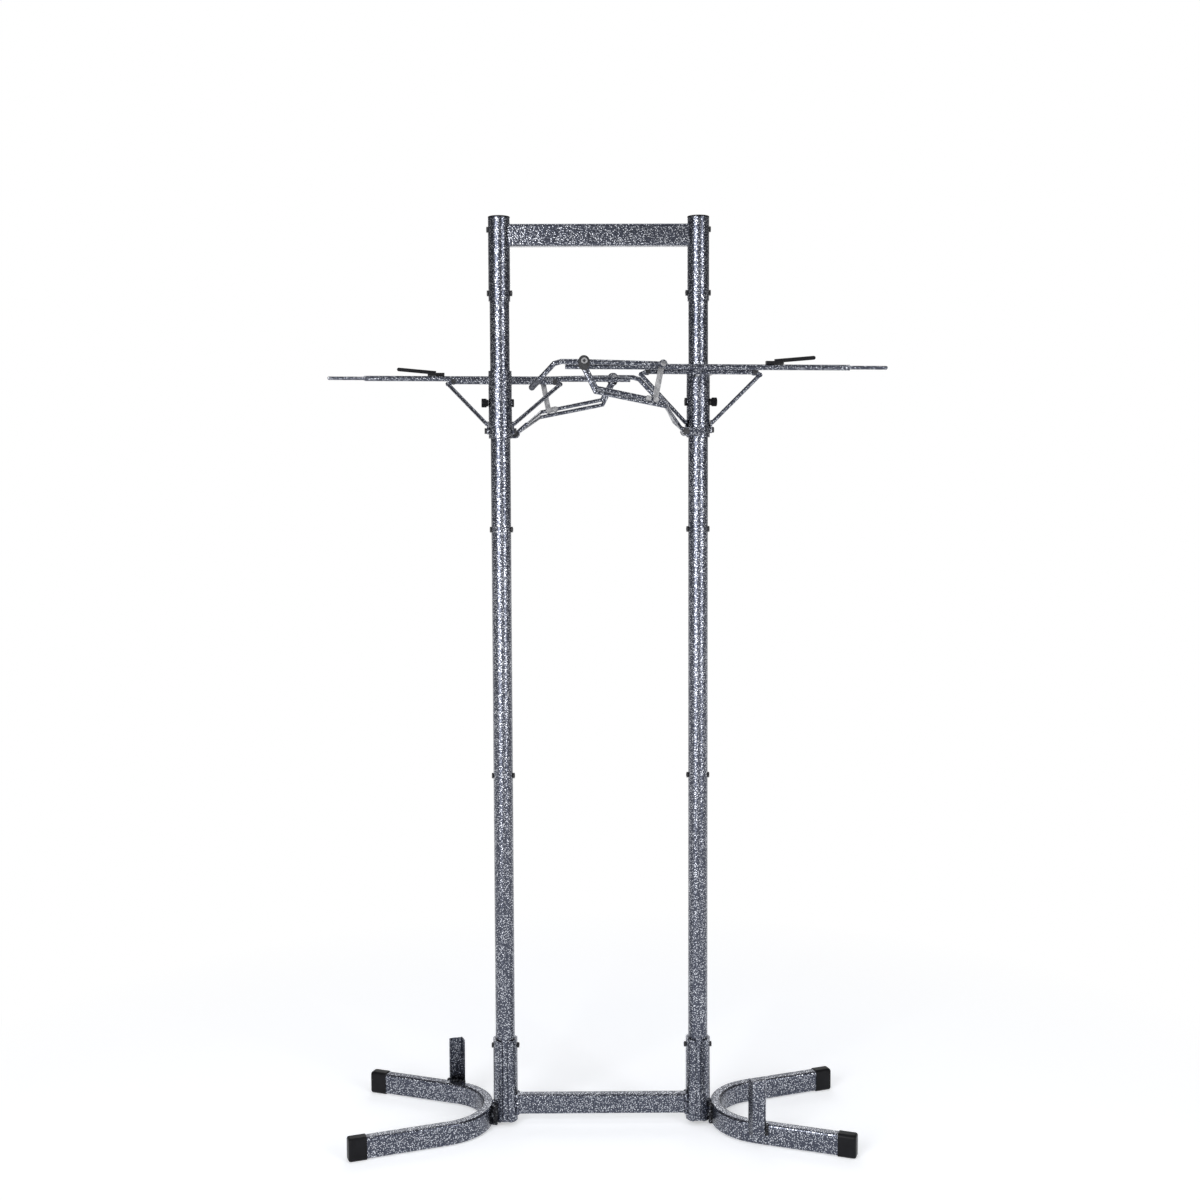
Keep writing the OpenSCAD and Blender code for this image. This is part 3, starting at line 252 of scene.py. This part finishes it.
def weld_seam(name, spots, radius, finish):
    """Lumpy weld: one uneven lump at each spot, grown together, riding on the frame."""
    bm = bmesh.new()
    for index, spot in enumerate(spots):
        grain = noise.noise(Vector(spot) * SWELL_GRAIN + Vector((index, 0, 0)))
        swell = radius * (SWELL_LEAST + SWELL_SPREAD * grain)
        place = Matrix.Translation(spot) @ Matrix.Rotation(LUMP_TURN * index, 4, "Y")
        bmesh.ops.create_icosphere(bm, subdivisions=3, radius=swell, matrix=place)
    mesh = bpy.data.meshes.new(name)
    bm.to_mesh(mesh)
    bm.free()
    seam = bpy.data.objects.new(name, mesh)
    scene.collection.objects.link(seam)
    remesh = seam.modifiers.new("grown_together", "REMESH")
    remesh.mode = "VOXEL"
    remesh.voxel_size = radius / VOXELS_PER_RADIUS
    remesh.use_smooth_shade = True
    lumps = bpy.data.textures.new(name, "CLOUDS")
    lumps.noise_scale = radius * SPATTER_SIZE
    lumps.noise_depth = 2
    rough = seam.modifiers.new("spatter", "DISPLACE")
    rough.texture = lumps
    rough.texture_coords = "LOCAL"
    rough.strength = radius * SPATTER_HEIGHT
    rough.mid_level = 0.5
    seam.data.materials.append(finish)
    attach(seam, "frame")


SIDES = (("right", 1.0), ("left", -1.0))
FACES = (("front", -1.0), ("rear", 1.0))
POST_X = 0.160
LEG_LOW_Z, LEG_HIGH_Z = 0.005, 0.0345
LEG_SHARES = (0.02, 0.18, 0.34, 0.50, 0.66, 0.82, 0.98)
STOP_SHARES = (0.0, 0.25, 0.5, 0.75, 1.0)
STOP_TOP_START, STOP_TOP_END = Vector((0.2370, -0.0888)), Vector((0.2600, -0.0968))
STOP_END = Vector((0.2642, -0.0995))
ARM_TOP_Z = 0.0365
STOP_END_Z = (0.021, 0.025, 0.029, 0.033, 0.0365)
CROSS_WELD_Z = (0.041, 0.0435, 0.046, 0.0485, 0.0505)
CROSS_WELD_IN, CROSS_WELD_Y = 0.0190, 0.0102
NARROW_SEAM = ((0.0196, 0.0100), (0.0210, 0.0122))
WIDE_SEAM = ((0.0196, 0.0100), (0.0182, 0.0134), (0.0152, 0.0153))
LEG_BEAD_R, STOP_BEAD_R, STOP_END_BEAD_R, CROSS_BEAD_R = 0.0031, 0.0026, 0.0036, 0.0022

for side_name, side in SIDES:
    for face_name, face in FACES:
        columns = WIDE_SEAM if side == face else NARROW_SEAM
        groove = [(side * (POST_X + out), face * y, LEG_LOW_Z + (LEG_HIGH_Z - LEG_LOW_Z) * share)
                  for out, y in columns for share in LEG_SHARES]
        weld_seam(f"{side_name}_leg_weld_{face_name}", groove, LEG_BEAD_R, WELD)
    # The stop welds fill the gaps beside the stop, where their near-black is partly painted shade.
    along_top = [STOP_TOP_START.lerp(STOP_TOP_END, share) for share in STOP_SHARES]
    top = [(side * spot.x, side * spot.y, ARM_TOP_Z) for spot in along_top]
    weld_seam(f"{side_name}_stop_weld_inner", top, STOP_BEAD_R, WELD)
    end = [(side * STOP_END.x, side * STOP_END.y, height) for height in STOP_END_Z]
    weld_seam(f"{side_name}_stop_weld_outer", end, STOP_END_BEAD_R, WELD)
    for face_name, face in FACES:
        root = [(side * (POST_X - CROSS_WELD_IN), face * CROSS_WELD_Y, height) for height in CROSS_WELD_Z]
        weld_seam(f"{side_name}_cross_tube_weld_{face_name}", root, CROSS_BEAD_R,
                  FINISHES["hammertone_paint"])


# Small black pieces on the cradles, painted as shade over the boss and in the bolt sockets


CRADLE_TURN = math.radians(5.0)
CRADLE_Z = {"right": 1.2415, "left": 1.2405}
BOSS_IN, BOSS_OUT, BOSS_R, KNOB_DROP = 0.0186, 0.0221, 0.0065, 0.047
SOCKET_U, SOCKET_RISE, SOCKET_V, SOCKET_R = -0.1965, 0.0053, (0.1368, 0.1388), 0.0021


def in_cradle(side_name, u, v, rise):
    """A place in a cradle: u along its bar, v outward from the post, rise above the rail's middle."""
    x = POST_X + u * math.cos(CRADLE_TURN) + v * math.sin(CRADLE_TURN)
    y = u * math.sin(CRADLE_TURN) - v * math.cos(CRADLE_TURN)
    side = dict(SIDES)[side_name]
    return Vector((side * x, side * y, CRADLE_Z[side_name] + rise))


def short_rod(name, start, end, radius, finish, body):
    """A short cylinder with eased rims between two places."""
    bm = bmesh.new()
    run = end - start
    place = Matrix.Translation((start + end) / 2) @ run.to_track_quat("Z", "Y").to_matrix().to_4x4()
    bmesh.ops.create_cone(bm, cap_ends=True, segments=48, radius1=radius, radius2=radius, depth=run.length,
                          matrix=place)
    rims = [edge for edge in bm.edges if any(len(face.verts) > 4 for face in edge.link_faces)]
    bmesh.ops.bevel(bm, geom=rims, offset=radius / 12, segments=3, profile=0.5, affect="EDGES")
    bmesh.ops.recalc_face_normals(bm, faces=bm.faces)
    mesh = bpy.data.meshes.new(name)
    bm.to_mesh(mesh)
    bm.free()
    mesh.polygons.foreach_set("use_smooth", [True] * len(mesh.polygons))
    mesh.set_sharp_from_angle(angle=math.radians(35))
    mesh.materials.append(finish)
    rod = bpy.data.objects.new(name, mesh)
    scene.collection.objects.link(rod)
    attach(rod, body)


for side_name, _ in SIDES:
    # A black cylinder over the boss on the sleeve's inner side: painted shade where the boss sits in shadow.
    short_rod(f"{side_name}_boss_painted_shade", in_cradle(side_name, -BOSS_IN, 0.0, -KNOB_DROP),
              in_cradle(side_name, -BOSS_OUT, 0.0, -KNOB_DROP), BOSS_R, FINISHES["black_plastic"],
              f"{side_name}_cradle")
    # A black disc at the bottom of each bolt socket: painted shade in the recess.
    short_rod(f"{side_name}_socket_painted_shade", in_cradle(side_name, SOCKET_U, SOCKET_V[0], SOCKET_RISE),
              in_cradle(side_name, SOCKET_U, SOCKET_V[1], SOCKET_RISE), SOCKET_R, FINISHES["black_steel"],
              f"{side_name}_catch_arm")


# Foot caps


LEG_CENTRE_X, LEG_BEND_R, ARM_TURN, ARM_L = 0.280, 0.090, math.radians(20.5), 0.163
CAP_L, CAP_W, CAP_H = 0.029, 0.0209, 0.0379
CAP_CORNER_R, CAP_END_R = 0.0054, 0.0038


def foot_caps(side_name, side):
    """Two black caps with the CAD ones' outline, closed towards the leg, with soft end edges."""
    whole = bmesh.new()
    mesh = bpy.data.meshes.new(f"{side_name}_soft_foot_caps")
    half_turn = Matrix.Rotation(0.0 if side > 0 else math.pi, 4, "Z")
    leg = half_turn @ Matrix.Translation((LEG_CENTRE_X, 0, 0))
    for face in (-1.0, 1.0):
        bm = bmesh.new()
        size = Matrix.Diagonal((CAP_L, CAP_W, CAP_H, 1.0))
        bmesh.ops.create_cube(bm, size=1.0, matrix=Matrix.Translation((CAP_L / 2, 0, CAP_H / 2)) @ size)
        long_edges = [edge for edge in bm.edges
                      if abs(edge.verts[0].co.x - edge.verts[1].co.x) > CAP_L / 2]
        bmesh.ops.bevel(bm, geom=long_edges, offset=CAP_CORNER_R, segments=6, profile=0.5, affect="EDGES")
        rim = [edge for edge in bm.edges
               if all(vertex.co.x > CAP_L - CAP_END_R / 10 for vertex in edge.verts)]
        bmesh.ops.bevel(bm, geom=rim, offset=CAP_END_R, segments=5, profile=0.5, affect="EDGES")
        arm_end = Matrix.Translation((ARM_L - CAP_L, face * LEG_BEND_R, 0))
        along = Matrix.Rotation(face * ARM_TURN, 4, "Z") @ arm_end
        bmesh.ops.transform(bm, matrix=leg @ along, verts=bm.verts)
        bmesh.ops.recalc_face_normals(bm, faces=bm.faces)
        bm.to_mesh(mesh)
        bm.free()
        whole.from_mesh(mesh)
    whole.to_mesh(mesh)
    whole.free()
    mesh.polygons.foreach_set("use_smooth", [True] * len(mesh.polygons))
    mesh.set_sharp_from_angle(angle=math.radians(50))
    mesh.materials.append(FINISHES["black_plastic"])
    caps = bpy.data.objects.new(f"{side_name}_soft_foot_caps", mesh)
    scene.collection.objects.link(caps)
    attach(caps, "frame")
    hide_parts(f"{side_name}_foot_caps")


for side_name, side in SIDES:
    foot_caps(side_name, side)


# Floor, backdrop and light


FLOOR_SIZE, FLOOR_GLOW = 60.0, 0.40
FLOOR_NEAR_R, FLOOR_FAR_R = 0.55, 1.3
BACKDROP_START, BACKDROP_FULL = 0.55, 0.9
SIDE_LIGHT, BACKDROP_LIGHT = 0.25, 0.5


def pale_floor():
    """Matt floor that keeps the shadow near the stand and turns into plain white further out."""
    bpy.ops.mesh.primitive_plane_add(size=FLOOR_SIZE, location=(0, 0, 0))
    floor = bpy.context.object
    floor.name = "floor"
    m = Nodes("pale_floor")
    ray = m.add("ShaderNodeLightPath")
    seen = m.math("MAXIMUM", ray.outputs["Is Camera Ray"],
                  m.math("MAXIMUM", ray.outputs["Is Glossy Ray"], ray.outputs["Is Transmission Ray"]))
    distance = m.add("ShaderNodeVectorMath", {0: m.place}, operation="LENGTH").outputs["Value"]
    far = m.math("MULTIPLY", seen, m.span(distance, FLOOR_NEAR_R, FLOOR_FAR_R))
    matt = m.add("ShaderNodeBsdfDiffuse", {"Color": (0.80, 0.82, 0.86, 1.0)})
    glow = m.add("ShaderNodeEmission",
                 {"Color": (1, 1, 1, 1), "Strength": m.math("MULTIPLY", seen, FLOOR_GLOW)})
    near = m.add("ShaderNodeAddShader", {0: matt.outputs["BSDF"], 1: glow.outputs["Emission"]})
    white = m.add("ShaderNodeEmission", {"Color": (1, 1, 1, 1), "Strength": 1.0})
    both = m.add("ShaderNodeMixShader", {0: far, 1: near.outputs["Shader"], 2: white.outputs["Emission"]})
    m.tree.links.new(both.outputs["Shader"], m.output.inputs["Surface"])
    floor.data.materials.append(m.material)


def white_world():
    """White behind the stand; for the light itself, dim at the sides and brighter towards the backdrop."""
    world = bpy.data.worlds.new("studio")
    scene.world = world
    world.use_nodes = True
    tree = world.node_tree
    tree.nodes.clear()

    def add(kind, **settings):
        node = tree.nodes.new(kind)
        for key, value in settings.items():
            setattr(node, key, value)
        return node

    out, back, ray = add("ShaderNodeOutputWorld"), add("ShaderNodeBackground"), add("ShaderNodeLightPath")
    seen = add("ShaderNodeMath", operation="MAXIMUM")
    tree.links.new(ray.outputs["Is Camera Ray"], seen.inputs[0])
    tree.links.new(ray.outputs["Is Transmission Ray"], seen.inputs[1])
    direction, parts = add("ShaderNodeTexCoord"), add("ShaderNodeSeparateXYZ")
    glow = add("ShaderNodeMapRange")
    tree.links.new(direction.outputs["Generated"], parts.inputs["Vector"])
    tree.links.new(parts.outputs["Y"], glow.inputs["Value"])
    for key, value in (("From Min", BACKDROP_START), ("From Max", BACKDROP_FULL),
                       ("To Min", SIDE_LIGHT), ("To Max", BACKDROP_LIGHT)):
        glow.inputs[key].default_value = value
    strength = add("ShaderNodeMapRange")
    tree.links.new(seen.outputs[0], strength.inputs["Value"])
    tree.links.new(glow.outputs["Result"], strength.inputs["To Min"])
    strength.inputs["To Max"].default_value = 1.0
    back.inputs["Color"].default_value = (1, 1, 1, 1)
    tree.links.new(strength.outputs["Result"], back.inputs["Strength"])
    tree.links.new(back.outputs["Background"], out.inputs["Surface"])


def soft_lamp(name, place, aim, width, height, power):
    data = bpy.data.lights.new(name, "AREA")
    data.shape = "RECTANGLE"
    data.size, data.size_y, data.energy = width, height, power
    lamp = bpy.data.objects.new(name, data)
    direction = Vector(aim) - Vector(place)
    lamp.matrix_world = Matrix.Translation(place) @ direction.to_track_quat("-Z", "Y").to_matrix().to_4x4()
    scene.collection.objects.link(lamp)


pale_floor()
white_world()
soft_lamp("left_softbox", (-1.5, -2.83, 1.4), (0, 0, 1.0), 1.4, 2.6, 80)
soft_lamp("right_softbox", (2.15, -2.4, 1.4), (0, 0, 1.0), 1.0, 2.6, 42)
soft_lamp("front_card", (0.0, -4.6, 1.3), (0, 0, 1.0), 2.6, 2.4, 10)
soft_lamp("overhead", (0.0, -0.4, 3.4), (0, 0, 0.6), 2.4, 2.0, 14)
soft_lamp("back_fill", (0.0, 2.6, 2.0), (0, 0, 0.8), 2.0, 1.6, 16)
